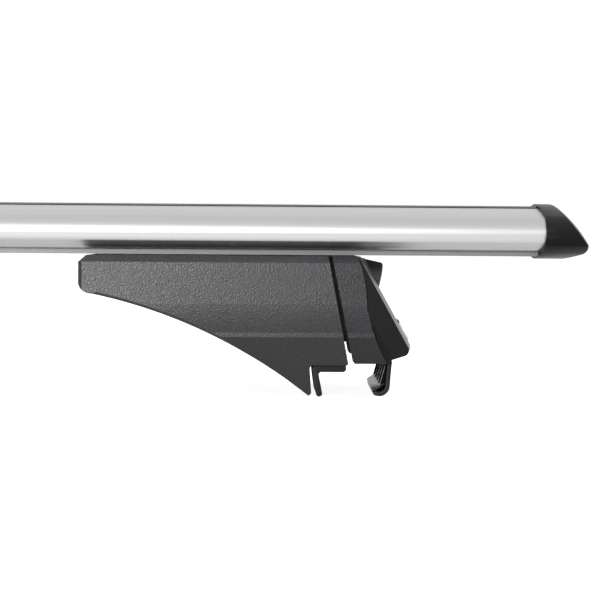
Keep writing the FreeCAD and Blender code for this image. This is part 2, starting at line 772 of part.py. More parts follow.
def make_outer_cover(side):
    body = new_body(side_name("outer_cover", side))
    tag = "Right" if side > 0 else "Left"
    parting_line = s_curve("0", "hinge_height")
    top = parting_line[-1]
    outline = add_outline(sketch_on(body, "OuterSide" + tag, "XZ_Plane"), parting_line[:-1] + [
        (top[0], top[1], "foot_top - hinge_height"),
        ("hinge_reach", "foot_top"),
        (gap_edge_at("foot_top", "gap_width"), "foot_top"),
        (gap_edge_at("outer_bottom + edge_bevel", "gap_width"), "outer_bottom + edge_bevel"),
        (gap_edge_at("outer_bottom", "gap_width") + " + edge_bevel", "outer_bottom"),
    ])
    pad(body, outline, "foot_width + 2", middle=True)
    trim_section(body, "OuterSection" + tag, "0", "foot_top", "top_bevel")
    core = box_corners("-foot_width", "-crease_height", "foot_width", "cover_ceiling")
    cut_core(body, "OuterCore" + tag, core, "cover_ceiling")
    for sign, word in (("", "Far"), ("-", "Near")):
        lug = sketch_on(body, "HingeLug" + word + tag, "XZ_Plane",
                        base=(0, 0, "-(%shinge_pin_middle)" % sign))
        add_circle(lug, "hinge_reach", "hinge_height", "foot_top - hinge_height")
        pad(body, lug, "hinge_pin_length + hinge_lug_room", middle=True)
        slot = sketch_on(body, "HingeSlot" + word + tag, "XY_Plane", base=(0, 0, "foot_top + cover_wall"))
        edge = "%shinge_pin_middle" % sign
        add_outline(slot, box_corners("hinge_reach - hinge_slot_back", edge + " - hinge_slot_width / 2",
                                      "foot_width / 2", edge + " + hinge_slot_width / 2"))
        pocket(body, slot, "4 * cover_wall")
    hole = sketch_on(body, "HingeBores" + tag, "XZ_Plane")
    add_circle(hole, "hinge_reach", "hinge_height", "hinge_pin_radius + hinge_play")
    pocket(body, hole, "2 * hinge_pin_middle + hinge_pin_length", middle=True)
    add_screw_posts(body, "OuterPosts" + tag, [("outer_boss_reach", "outer_boss_height")])
    place(body, side)


# Lid: a slanted outer face that bows outward across the foot, with two side walls.
# Sketches turned by the slant have x square to the face and their normal up along it.

def slanted(body, name):
    return sketch_on(body, name, "XY_Plane", turn=(Vector(0, 1, 0), "-lid_slant"))


BOW_RADIUS = "((foot_width ^ 2 / 4 + lid_bulge ^ 2) / (2 * lid_bulge))"


def make_lid(side):
    body = new_body(side_name("lock_lid", side))
    tag = "Right" if side > 0 else "Left"
    reach = "foot_width"
    drop = "(%s - lid_bottom_reach) * tan(lid_bottom_tilt)" % reach
    outline = add_outline(sketch_on(body, "LidSide" + tag, "XZ_Plane"), s_curve("parting", "hinge_height") + [
        ("hinge_reach + foot_top - hinge_height + parting", "lid_top"),
        (reach, "lid_top"),
        (reach, "lid_bottom_height + " + drop),
        ("lid_bottom_reach", "lid_bottom_height"),
    ])
    pad(body, outline, "foot_width", middle=True)
    bow = add_outline(slanted(body, "LidBow" + tag), [
        ("lid_face", "-foot_width / 2", BOW_RADIUS),
        ("lid_face", "foot_width / 2"),
        ("lid_face + foot_width", "foot_width / 2 + 1"),
        ("lid_face + foot_width", "-foot_width / 2 - 1"),
    ])
    pocket(body, bow)

    def outer_bottom_edge(edge):
        points = [edge.valueAt(edge.FirstParameter + t * (edge.LastParameter - edge.FirstParameter))
                  for t in (0, 0.5, 1)]
        wide = abs(points[0].y - points[2].y) > number("foot_width") * 0.9
        return wide and points[1].x > number("lid_bottom_reach") + 2 and points[1].z < number("s_waist_height")

    soften(body, "LidCorner" + tag, "lid_corner_radius", outer_bottom_edge)
    inside = "(foot_width / 2 - cover_wall)"
    cavity = add_outline(slanted(body, "LidCavity" + tag), [
        ("lid_face - lid_wall + 0.3", "-" + inside, BOW_RADIUS),
        ("lid_face - lid_wall + 0.3", inside),
        ("-foot_width", inside),
        ("-foot_width", "-" + inside),
    ])
    pocket(body, cavity)
    bevels = slanted(body, "LidStrip" + tag)
    for sign in ("", "-"):
        add_outline(bevels, [
            ("strip_face", sign + "(foot_width / 2 + 0.1)"),
            ("strip_face - strip_face_run", sign + "(foot_width / 2 - strip_face_depth)"),
            ("-foot_width", sign + "(foot_width / 2 - strip_face_depth)"),
            ("-foot_width", sign + "(foot_width / 2 + 0.1)"),
        ])
    pocket(body, bevels)

    boss = sketch_on(body, "LockBoss" + tag, "XY_Plane",
                     base=("lock_reach - 1.5 * cos(lid_slant)", 0, "lock_height - 1.5 * sin(lid_slant)"),
                     turn=(Vector(0, 1, 0), "90 - lid_slant"))
    add_circle(boss, 0, 0, "lock_boss_radius")
    pad(body, boss, "lock_boss_depth", back=True)
    for sign, word in (("", "Far"), ("-", "Near")):
        ear = sketch_on(body, "LidEar" + word + tag, "XZ_Plane", base=(0, 0, "-(%shinge_pin_middle)" % sign))
        radius = "(foot_top - hinge_height - 0.2)"
        add_outline(ear, [
            ("hinge_reach - " + radius, "hinge_height", radius),
            ("hinge_reach", "hinge_height - " + radius),
            ("hinge_reach + 9.4", "hinge_height - 6"),
            ("hinge_reach + 6.4", "lid_top"),
            ("hinge_reach + 1.5", "hinge_height + " + radius),
            ("hinge_reach", "hinge_height + " + radius, radius),
        ])
        pad(body, ear, "hinge_ear_width", middle=True)
    notch = sketch_on(body, "KnobNotch" + tag, "YZ_Plane")
    flare = "(notch_half_width + notch_flare)"
    add_outline(notch, [
        ("-" + flare, "2 * foot_top"),
        ("-" + flare, "foot_top"),
        ("-notch_half_width", "foot_top - notch_flare_drop"),
        ("-notch_half_width", "notch_low + notch_corner_radius", "notch_corner_radius"),
        ("-notch_half_width + notch_corner_radius", "notch_low"),
        ("notch_half_width - notch_corner_radius", "notch_low", "notch_corner_radius"),
        ("notch_half_width", "notch_low + notch_corner_radius"),
        ("notch_half_width", "foot_top - notch_flare_drop"),
        (flare, "foot_top"),
        (flare, "2 * foot_top"),
    ])
    pocket(body, notch)
    pin_hole = sketch_on(body, "LidPinHole" + tag, "XZ_Plane")
    add_circle(pin_hole, "hinge_reach", "hinge_height", "hinge_pin_radius + hinge_play")
    pocket(body, pin_hole)
    lock_hole = lock_sketch(body, "LockHole" + tag, "lock_proud + 2")
    add_circle(lock_hole, 0, 0, "lock_radius + lock_hole_play")
    pocket(body, lock_hole, "lock_depth + 4")
    place(body, side)


def lock_sketch(body, name, above="0"):
    """A sketch square to the lock's axis, at a distance outward from the lid's face."""
    return sketch_on(body, name, "XY_Plane", turn=(Vector(0, 1, 0), "90 - lid_slant"), base=(
        "lock_reach + (%s) * cos(lid_slant)" % above, 0,
        "lock_height + (%s) * sin(lid_slant)" % above))


def make_hinge_pins(side):
    body = new_body(side_name("hinge_pins", side))
    tag = "Right" if side > 0 else "Left"
    for sign, word in (("", "Far"), ("-", "Near")):
        pin = sketch_on(body, "HingePin" + word + tag, "XZ_Plane", base=(0, 0, "-(%shinge_pin_middle)" % sign))
        add_circle(pin, "hinge_reach", "hinge_height", "hinge_pin_radius")
        pad(body, pin, "hinge_pin_length", middle=True)
    place(body, side)


def make_lock(side):
    tag = "Right" if side > 0 else "Left"
    barrel = new_body(side_name("lock_barrel", side))
    ring = lock_sketch(barrel, "BarrelRing" + tag, "lock_proud")
    add_circle(ring, 0, 0, "lock_radius")
    add_circle(ring, 0, 0, "plug_radius + run_play")
    pad(barrel, ring, "lock_proud + lock_depth", back=True)
    place(barrel, side)

    plug = new_body(side_name("lock_plug", side))
    core = lock_sketch(plug, "PlugCore" + tag, "lock_proud - plug_recess")
    add_circle(core, 0, 0, "plug_radius")
    pad(plug, core, "lock_proud - plug_recess + lock_depth", back=True)
    tail = lock_sketch(plug, "PlugTail" + tag, "-lock_depth")
    add_circle(tail, 0, 0, "plug_tail_radius")
    pad(plug, tail, "plug_tail", back=True)
    keyway = lock_sketch(plug, "Keyway" + tag, "lock_proud")
    add_outline(keyway, box_corners("-key_slot_height / 2", "-key_slot_width / 2",
                                    "key_slot_height / 2", "key_slot_width / 2"))
    pocket(plug, keyway, "key_slot_depth")
    place(plug, side)

    # The cam points across the foot when unlocked and up behind the latch pin when locked.
    cam = new_body(side_name("lock_cam", side))
    arm = lock_sketch(cam, "CamArm" + tag, "-lock_depth - run_play")
    add_outline(arm, [
        ("cam_width / 2", "0"),
        ("cam_width / 2", "cam_length - cam_width / 2", "cam_width / 2 + 0.001"),
        ("-cam_width / 2", "cam_length - cam_width / 2"),
        ("-cam_width / 2", "0", "cam_width / 2 + 0.001"),
    ])
    add_circle(arm, 0, 0, "plug_tail_radius + run_play")
    pad(cam, arm, "cam_thickness", back=True)
    place(cam, side)


# Rail pad: an L of rubber under the notch, with two pegs up through the cover's seat.

def make_rail_pad(side):
    body = new_body(side_name("rail_pad", side))
    tag = "Right" if side > 0 else "Left"
    tip = "(pad_lip_thickness / 2)"
    outline = add_outline(sketch_on(body, "PadSide" + tag, "XZ_Plane"), [
        ("pad_right", "pad_top"),
        ("-pad_left + pad_corner_radius", "pad_top", "pad_corner_radius"),
        ("-pad_left", "pad_top - pad_corner_radius"),
        ("-pad_lip_tip - pad_lip_lean", "pad_lip_bend"),
        ("-pad_lip_tip", tip, tip),
        ("-pad_lip_tip + " + tip, "0", tip),
        ("-pad_lip_tip + 2 * " + tip, tip),
        ("-pad_lip_root", "pad_low - pad_root_radius", "-pad_root_radius"),
        ("-pad_lip_root + pad_root_radius", "pad_low"),
        ("pad_right - pad_corner_radius", "pad_low", "pad_corner_radius"),
        ("pad_right", "pad_low + pad_corner_radius"),
    ])
    pad(body, outline, "pad_width", middle=True)
    pegs = sketch_on(body, "PadPegs" + tag, "XY_Plane", base=(0, 0, "pad_top"))
    for sign in ("", "-"):
        add_circle(pegs, "0", sign + "pad_peg_spacing / 2", "pad_peg_radius")
    pad(body, pegs, "seat_height + frame_wall - pad_top")
    place(body, side)


# Foot frame: a folded steel channel with a seat over the rail pad.

def make_frame(side):
    body = new_body(side_name("foot_frame", side))
    tag = "Right" if side > 0 else "Left"
    ear = "latch_ear"
    outline = add_outline(sketch_on(body, "FrameSide" + tag, "XZ_Plane"), [
        ("-frame_inner_end", "frame_top"),
        ("-frame_inner_end", "frame_under - 6"),
        ("-frame_inner_end + 4", "frame_heel_height"),
        ("-seat_left - 2", "seat_height"),
        ("seat_right", "seat_height"),
        ("seat_right", "throat_height"),
        ("pivot_reach - 3", "throat_height + 2.2"),
        ("latch_reach + %s * sin(lid_slant)" % ear, "latch_height - %s * cos(lid_slant)" % ear, ear),
        ("latch_reach + %s * cos(lid_slant)" % ear, "latch_height + %s * sin(lid_slant)" % ear, ear),
        ("latch_reach - %s * sin(lid_slant)" % ear, "latch_height + %s * cos(lid_slant)" % ear),
        ("screw_reach", "foot_top - 8"),
        ("frame_outer_end", "frame_under"),
        ("frame_outer_end", "frame_top"),
    ])
    pad(body, outline, "2 * frame_half_width", middle=True)
    hollow = add_outline(sketch_on(body, "FrameHollow" + tag, "XZ_Plane"), [
        ("-2 * frame_inner_end", "0"),
        ("-seat_left", "0"),
        ("-seat_left", "seat_height + frame_wall"),
        ("seat_right + 0.1", "seat_height + frame_wall"),
        ("seat_right + 0.1", "0"),
        ("foot_width", "0"),
        ("foot_width", "frame_under"),
        ("-2 * frame_inner_end", "frame_under"),
    ])
    pocket(body, hollow, "2 * frame_inside", middle=True)
    window = sketch_on(body, "FrameWindow" + tag, "XY_Plane", base=(0, 0, "foot_top"))
    add_outline(window, box_corners("-window_start", "-window_half_width", "foot_width", "window_half_width"))
    for reach in ("bolt_far", "bolt_near"):
        add_circle(window, "-" + reach, "0", "bolt_radius + bolt_hole_play")
    pocket(body, window, "4 * frame_wall")
    pins = sketch_on(body, "FramePinHoles" + tag, "XZ_Plane")
    add_circle(pins, "pivot_reach", "pivot_height", "pivot_radius + run_play")
    add_circle(pins, "latch_reach", "latch_height", "latch_radius + run_play")
    for x, z in (("-inner_boss_reach", "inner_boss_height"), ("-near_boss_reach", "near_boss_height"),
                 ("outer_boss_reach", "outer_boss_height")):
        add_circle(pins, x, z, "small_screw_radius + run_play")
    pocket(body, pins)
    pegs = sketch_on(body, "FramePegHoles" + tag, "XY_Plane")
    for sign in ("", "-"):
        add_circle(pegs, "0", sign + "pad_peg_spacing / 2", "pad_peg_radius + run_play")
    pocket(body, pegs, "throat_height", back=True)
    place(body, side)


def make_saddle(side):
    """Moulded block between the frame and the bar's flange."""
    body = new_body(side_name("bar_saddle", side))
    tag = "Right" if side > 0 else "Left"
    block = sketch_on(body, "SaddlePlan" + tag, "XY_Plane", base=(0, 0, "frame_top"))
    add_outline(block, box_corners("-saddle_start", "-saddle_width / 2", "-saddle_end", "saddle_width / 2"))
    for reach in ("bolt_far", "bolt_near"):
        add_circle(block, "-" + reach, "0", "bolt_radius + bolt_hole_play")
    pad(body, block, "flange_bottom - slide_play - frame_top")
    place(body, side)


def make_slot_plate(side):
    """Steel plate in the bar's lower slot that the foot's bolts screw into."""
    body = new_body(side_name("slot_plate", side))
    tag = "Right" if side > 0 else "Left"
    plan = sketch_on(body, "PlatePlan" + tag, "XY_Plane",
                     base=(0, 0, "flange_bottom + slot_lip + slide_play"))
    add_outline(plan, box_corners("-bolt_far - slot_plate_end", "-slot_plate_width / 2",
                                  "-bolt_near + slot_plate_end", "slot_plate_width / 2"))
    for reach in ("bolt_far", "bolt_near"):
        add_circle(plan, "-" + reach, "0", "bolt_radius + run_play")
    pad(body, plan, "slot_plate_thickness")
    place(body, side)


def hexagon(sketch, x, y, flat, turned=False):
    """A regular hexagon of a width across flats."""
    size = "(%s / sqrt(3))" % flat
    corners = []
    for index in range(6):
        angle = 60 * index + (30 if turned else 0)
        corners.append(("%s + %s * cos(%d)" % (x, size, angle), "%s + %s * sin(%d)" % (y, size, angle)))
    return add_outline(sketch, corners)


def make_bolts(side):
    body = new_body(side_name("foot_bolts", side))
    tag = "Right" if side > 0 else "Left"
    for reach, word in (("bolt_far", "Far"), ("bolt_near", "Near")):
        head = sketch_on(body, "BoltHead" + word + tag, "XY_Plane",
                         base=(0, 0, "frame_under - bolt_head_height"))
        hexagon(head, "-" + reach, "0", "bolt_head_flat")
        pad(body, head, "bolt_head_height")
        shank = sketch_on(body, "BoltShank" + word + tag, "XY_Plane", base=(0, 0, "frame_under"))
        add_circle(shank, "-" + reach, "0", "bolt_radius")
        pad(body, shank, "flange_bottom + slot_lip + slide_play + slot_plate_thickness - frame_under")
    place(body, side)


def make_small_screws(side):
    """Pan-head screws from inside the frame into the covers' posts."""
    body = new_body(side_name("cover_screws", side))
    tag = "Right" if side > 0 else "Left"
    places = [("-inner_boss_reach", "inner_boss_height"), ("-near_boss_reach", "near_boss_height"),
              ("outer_boss_reach", "outer_boss_height")]
    for sign, word in (("", "Far"), ("-", "Near")):
        heads = sketch_on(body, "ScrewHeads" + word + tag, "XZ_Plane", base=(
            0, 0, "-(%s(frame_inside - small_head_height / 2))" % sign))
        shanks = sketch_on(body, "ScrewShanks" + word + tag, "XZ_Plane", base=(
            0, 0, "-(%s((frame_inside + foot_width / 2 - cover_wall / 2) / 2))" % sign))
        for x, z in places:
            add_circle(heads, x, z, "small_head_radius")
            add_circle(shanks, x, z, "small_screw_radius")
        pad(body, heads, "small_head_height", middle=True)
        pad(body, shanks, "foot_width / 2 - cover_wall / 2 - frame_inside", middle=True)
    place(body, side)


# Pieces on the clamp screw's line. Turned sketches have x down across the line and y outward.

SCREW_Z = "(screw_line_height + (screw_line_reach - screw_reach) * tan(screw_tilt))"


def screw_section(body, name):
    """A sketch in the side view whose upright axis is the screw's line, outward."""
    return sketch_on(body, name, "XZ_Plane", base=("screw_reach", SCREW_Z, "0"),
                     turn=(Vector(0, 0, 1), "-90 - screw_tilt"))


def screw_face(body, name, outward="0"):
    """A sketch square to the screw's line at a distance outward from the thrust plate."""
    return sketch_on(body, name, "XY_Plane", turn=(Vector(0, 1, 0), "90 + screw_tilt"), base=(
        "screw_reach + (%s) * cos(screw_tilt)" % outward, 0,
        "%s - (%s) * sin(screw_tilt)" % (SCREW_Z, outward)))


def make_thrust_plate(side):
    body = new_body(side_name("thrust_plate", side))
    tag = "Right" if side > 0 else "Left"
    plate = screw_face(body, "ThrustFace" + tag)
    add_outline(plate, [
        ("-thrust_up", "-thrust_neck"),
        ("-thrust_shoulder", "-thrust_neck"),
        ("-thrust_shoulder", "-frame_inside"),
        ("thrust_down", "-frame_inside"),
        ("thrust_down", "frame_inside"),
        ("-thrust_shoulder", "frame_inside"),
        ("-thrust_shoulder", "thrust_neck"),
        ("-thrust_up", "thrust_neck"),
    ])
    add_circle(plate, 0, 0, "screw_radius + screw_hole_play")
    pad(body, plate, "frame_wall", back=True)
    place(body, side)


def make_knob(side):
    body = new_body(side_name("clamp_knob", side))
    tag = "Right" if side > 0 else "Left"
    end = "(knob_gap + knob_length)"
    profile = add_outline(screw_section(body, "KnobProfile" + tag), [
        ("0", "knob_gap"),
        ("knob_hub_radius", "knob_gap"),
        ("knob_hub_radius", "knob_gap + knob_hub_length"),
        ("knob_radius - 0.6", "knob_gap + knob_hub_length"),
        ("knob_radius", "knob_gap + knob_hub_length + 0.6"),
        ("knob_radius", end + " - 2", "1.6"),
        ("knob_radius - 1.5", end + " - 0.6", "40"),
        ("0", end),
    ])
    revolve(body, profile)
    socket = hexagon(screw_face(body, "KnobSocket" + tag, end), "0", "0", "knob_socket_flat")
    pocket(body, socket, "knob_socket_depth")
    place(body, side)


NUT_BACK = "((screw_reach - tab_face_reach) / cos(screw_tilt) + strap_thickness + nut_gap)"


def make_clamp_screw(side):
    """Threaded rod moulded into the knob's hub."""
    body = new_body(side_name("clamp_screw", side))
    tag = "Right" if side > 0 else "Left"
    rod = screw_face(body, "ScrewRod" + tag, "knob_gap")
    add_circle(rod, 0, 0, "screw_radius")
    pad(body, rod, "knob_gap + %s + 2 * nut_radius + screw_tail" % NUT_BACK, back=True)
    place(body, side)


def make_cross_nut(side):
    """Barrel nut that lies across the arm's tab and is drawn outward by the screw."""
    body = new_body(side_name("cross_nut", side))
    tag = "Right" if side > 0 else "Left"
    away = "(%s + nut_radius)" % NUT_BACK
    barrel = sketch_on(body, "NutBarrel" + tag, "XZ_Plane")
    add_circle(barrel, "screw_reach - %s * cos(screw_tilt)" % away,
               "%s + %s * sin(screw_tilt)" % (SCREW_Z, away), "nut_radius")
    pad(body, barrel, "nut_length", middle=True)
    bore = screw_face(body, "NutBore" + tag)
    add_circle(bore, 0, 0, "screw_radius + run_play")
    pocket(body, bore)
    place(body, side)


# Clamp arm: one bent steel strap. Its outer face goes up from the jaw's curl through the
# shank to the tab; each inner corner is the outer one set in by the strap's thickness.

def strap_points():
    """Outer and inner corners of the strap, from the tab's top to the start of the curl."""
    tab_z = "(screw_line_height + (screw_line_reach - tab_face_reach) * tan(screw_tilt))"
    rise = "(jaw_shoulder_reach - tab_face_reach + (%s - jaw_shoulder_height) * tan(screw_tilt))" % tab_z
    shank = "(%s / (sin(shank_angle) + cos(shank_angle) * tan(screw_tilt)))" % rise
    foot = ("(jaw_shoulder_reach - %s * sin(shank_angle))" % shank,
            "(jaw_shoulder_height + %s * cos(shank_angle))" % shank)
    top = ("(%s + tab_length * sin(screw_tilt))" % foot[0],
           "(%s + tab_length * cos(screw_tilt))" % foot[1])
    shoulder = ("jaw_shoulder_reach", "jaw_shoulder_height")
    curl = ("(jaw_shoulder_reach - jaw_run * sin(jaw_lean))",
            "(jaw_shoulder_height - jaw_run * cos(jaw_lean))")
    outer = [top, foot, shoulder, curl]
    leans = ["-screw_tilt", "-screw_tilt", "shank_angle", "-jaw_lean", "-jaw_lean"]
    inner = []
    for (x, z), above, below in zip(outer, leans, leans[1:]):
        inner.append(set_in(x, z, above, below, "strap_thickness"))
    return outer, inner


def set_in(x, z, above, below, depth):
    """A corner moved inward so that both faces that meet there move by the depth."""
    mean = "((%s + %s) / 2)" % (above, below)
    half = "((%s - (%s)) / 2)" % (above, below)
    return ("(%s - %s * cos(%s) / cos(%s))" % (x, depth, mean, half),
            "(%s - %s * sin(%s) / cos(%s))" % (z, depth, mean, half))


def curl_centre():
    curl = strap_points()[0][-1]
    return ("(%s - jaw_curl_radius * cos(jaw_lean))" % curl[0],
            "(%s + jaw_curl_radius * sin(jaw_lean))" % curl[1])


def curl_point(radius, angle="(-jaw_lean - jaw_curl)"):
    x, z = curl_centre()
    return ("(%s + %s * cos(%s))" % (x, radius, angle), "(%s + %s * sin(%s))" % (z, radius, angle))


def make_clamp_arm(side):
    body = new_body(side_name("clamp_arm", side))
    tag = "Right" if side > 0 else "Left"
    outer, inner = strap_points()
    inner_curl = "(jaw_curl_radius - strap_thickness)"
    lip_out = curl_point("jaw_curl_radius")
    lip_in = curl_point(inner_curl)
    outline = add_outline(sketch_on(body, "StrapSide" + tag, "XZ_Plane"), (
        outer[:-1] + [outer[-1] + ("-jaw_curl_radius",), lip_out, lip_in + (inner_curl,)]
        + inner[::-1]))
    pad(body, outline, "jaw_width", middle=True)
    for name, half, low, high in (
            ("ShankSides", "shank_width / 2", "jaw_widens", "2 * foot_top"),
            ("TabSides", "tab_width / 2", "tab_widens", "2 * foot_top")):
        sides = sketch_on(body, name + tag, "YZ_Plane")
        for sign in ("", "-"):
            add_outline(sides, box_corners(sign + "jaw_width", low, "%s(%s)" % (sign, half), high))
        pocket(body, sides)
    slot = sketch_on(body, "TabSlot" + tag, "YZ_Plane")
    half = "(tab_slot_width / 2)"
    add_outline(slot, [
        (half, "2 * foot_top"), ("-" + half, "2 * foot_top"),
        ("-" + half, "tab_slot_low + " + half, half), ("0", "tab_slot_low", half),
        (half, "tab_slot_low + " + half)])
    pocket(body, slot)
    for sign, word in (("", "Far"), ("-", "Near")):
        ear = sketch_on(body, "ArmEar" + word + tag, "XZ_Plane",
                        base=(0, 0, "-(%s(shank_width / 2 - frame_wall / 2))" % sign))
        far = "ear_radius"
        add_outline(ear, [
            ("pivot_reach - %s * cos(shank_angle) - 6 * sin(shank_angle)" % far,
             "pivot_height - %s * sin(shank_angle) + 6 * cos(shank_angle)" % far),
            ("pivot_reach - %s * cos(shank_angle) + 8 * sin(shank_angle)" % far,
             "pivot_height - %s * sin(shank_angle) - 8 * cos(shank_angle)" % far),
            ("pivot_reach + %s * sin(shank_angle)" % far, "pivot_height - %s * cos(shank_angle)" % far, far),
            ("pivot_reach + %s * cos(shank_angle)" % far, "pivot_height + %s * sin(shank_angle)" % far, far),
            ("pivot_reach - %s * sin(shank_angle)" % far, "pivot_height + %s * cos(shank_angle)" % far),
        ])
        pad(body, ear, "frame_wall", middle=True)
    bore = sketch_on(body, "ArmBore" + tag, "XZ_Plane")
    add_circle(bore, "pivot_reach", "pivot_height", "pivot_radius + run_play")
    pocket(body, bore)
    place(body, side)


def make_jaw_lining(side):
    """Rubber on the jaw's inner face: a ribbed back and a flat lip pad across the curl."""
    body = new_body(side_name("jaw_lining", side))
    tag = "Right" if side > 0 else "Left"
    outer, inner = strap_points()
    shoulder, curl = inner[2], inner[3]
    lean = "jaw_lean"
    back = ("(%s - lining * cos(%s))" % (shoulder[0], lean), "(%s + lining * sin(%s))" % (shoulder[1], lean))
    lip = curl_point("(jaw_curl_radius - strap_thickness)")
    rise = "tan(lip_pad_rise)"
    meet_z = "(%s + (%s - %s) * %s)" % (lip[1], curl[0], lip[0], rise)
    meet_x = "(%s + (%s - %s) * tan(%s))" % (curl[0], meet_z, curl[1], lean)
    thick = "(lining / cos(lip_pad_rise))"
    tip_x = "(%s - lip_pad_overhang)" % lip[0]
    tip_z = "(%s - lip_pad_overhang * %s)" % (lip[1], rise)
    outline = add_outline(sketch_on(body, "LiningSide" + tag, "XZ_Plane"), [
        shoulder,
        (meet_x, meet_z),
        (tip_x, tip_z),
        (tip_x, "%s + %s" % (tip_z, thick)),
        ("%s - lining" % meet_x, "%s + %s - lining * %s" % (meet_z, thick, rise)),
        back,
    ])
    pad(body, outline, "jaw_width", middle=True)
    rib_top = (back[0], back[1] + " - lining")
    rib_low = ("(%s - lining - rib_height)" % meet_x,
               "(%s + %s - (lining + rib_height) * %s)" % (meet_z, thick, rise))
    for index in range(int(number("rib_count"))):
        across = "(%d - (rib_count - 1) / 2) * rib_pitch" % index
        rib = sketch_on(body, "Rib%d%s" % (index, tag), "XZ_Plane", base=(0, 0, "-(%s)" % across))
        add_outline(rib, [
            rib_top,
            ("%s - lining / 2" % meet_x, "%s + %s - lining / 2 * %s" % (meet_z, thick, rise)),
            rib_low,
        ])
        pad(body, rib, "rib_width", middle=True)
    place(body, side)


def make_pivot_pin(side):
    body = new_body(side_name("pivot_pin", side))
    tag = "Right" if side > 0 else "Left"
    shank = sketch_on(body, "PivotShank" + tag, "XZ_Plane")
    add_circle(shank, "pivot_reach", "pivot_height", "pivot_radius")
    pad(body, shank, "2 * frame_half_width + 2 * pivot_head_thickness", middle=True)
    for sign, word in (("", "Far"), ("-", "Near")):
        head = sketch_on(body, "PivotHead" + word + tag, "XZ_Plane", base=(
            0, 0, "-(%s(frame_half_width + pivot_head_thickness / 2 + run_play))" % sign))
        add_circle(head, "pivot_reach", "pivot_height", "pivot_head")
        pad(body, head, "pivot_head_thickness", middle=True)
    place(body, side)


def make_latch_pin(side):
    body = new_body(side_name("latch_pin", side))
    tag = "Right" if side > 0 else "Left"
    shank = sketch_on(body, "LatchShank" + tag, "XZ_Plane")
    add_circle(shank, "latch_reach", "latch_height", "latch_radius")
    pad(body, shank, "2 * frame_half_width + pivot_head_thickness", middle=True)
    place(body, side)


make_bar()
make_strip()
for side in (1, -1):
    make_end_cap(side)
    make_frame(side)
    make_saddle(side)
    make_slot_plate(side)
    make_bolts(side)
    make_inner_cover(side)
    make_outer_cover(side)
    make_small_screws(side)
    make_rail_pad(side)
    make_thrust_plate(side)
    make_knob(side)
    make_clamp_screw(side)
    make_cross_nut(side)
    make_clamp_arm(side)
    make_jaw_lining(side)
    make_pivot_pin(side)
    make_latch_pin(side)
    make_lid(side)
    make_hinge_pins(side)
    make_lock(side)
doc.recompute()

failed = [item.Name for item in doc.Objects if {"Invalid", "Error"} & set(item.State)]
failed += [body.Name for body in bodies if body.Shape.isNull() or not body.Shape.isValid()]
if failed:
    raise ValueError("failed: " + ", ".join(failed))

os.makedirs("parts", exist_ok=True)
for body in bodies:
    body.Shape.exportStep("parts/%s.step" % body.Label)
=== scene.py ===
import json
import math

import bmesh
import bpy
from mathutils import Matrix, Vector

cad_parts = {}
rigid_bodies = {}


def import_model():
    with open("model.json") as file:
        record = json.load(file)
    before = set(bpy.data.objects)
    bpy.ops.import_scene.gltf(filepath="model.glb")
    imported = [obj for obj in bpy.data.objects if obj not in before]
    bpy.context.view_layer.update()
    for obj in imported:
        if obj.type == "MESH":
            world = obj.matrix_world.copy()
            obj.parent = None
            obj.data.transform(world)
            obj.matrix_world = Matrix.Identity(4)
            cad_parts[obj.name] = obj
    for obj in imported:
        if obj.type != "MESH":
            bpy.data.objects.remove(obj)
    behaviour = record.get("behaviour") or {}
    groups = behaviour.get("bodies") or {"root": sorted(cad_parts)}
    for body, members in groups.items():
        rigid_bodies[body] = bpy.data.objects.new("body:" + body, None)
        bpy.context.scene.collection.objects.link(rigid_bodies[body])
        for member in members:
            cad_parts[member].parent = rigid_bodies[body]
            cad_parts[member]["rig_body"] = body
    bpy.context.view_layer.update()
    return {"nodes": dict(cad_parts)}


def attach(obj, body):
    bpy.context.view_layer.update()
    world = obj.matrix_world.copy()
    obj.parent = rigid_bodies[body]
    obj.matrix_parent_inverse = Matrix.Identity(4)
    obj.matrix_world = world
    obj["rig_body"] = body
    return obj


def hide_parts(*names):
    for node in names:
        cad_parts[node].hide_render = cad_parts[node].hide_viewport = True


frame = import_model()

# Bar: one aluminium extrusion, 80 mm deep, satin anodised. The die leaves faint lines along it.
# It carries the rubber strip on top, and the feet hang from the slot in its underside.


def add_node(tree, kind, settings=None, sockets=None):
    """Adds a node to a tree: settings first, then the values or links of its sockets."""
    made = tree.nodes.new(kind)
    for name, value in (settings or {}).items():
        setattr(made, name, value)
    for key, value in (sockets or {}).items():
        source = getattr(value, "socket", value)
        if isinstance(source, bpy.types.NodeSocket):
            tree.links.new(source, made.inputs[key])
        else:
            made.inputs[key].default_value = source
    return made


class Reading:
    """A value that changes over a surface. Arithmetic on it adds Math nodes."""

    def __init__(self, finish, socket):
        self.finish = finish
        self.socket = socket

    def _with(self, operation, first, second):
        made = self.finish.node("ShaderNodeMath", {"operation": operation}, {0: first, 1: second})
        return Reading(self.finish, made.outputs[0])

    def __add__(self, other):
        return self._with("ADD", self, other)

    __radd__ = __add__

    def __sub__(self, other):
        return self._with("SUBTRACT", self, other)

    def __rsub__(self, other):
        return self._with("SUBTRACT", other, self)

    def __mul__(self, other):
        return self._with("MULTIPLY", self, other)

    __rmul__ = __mul__


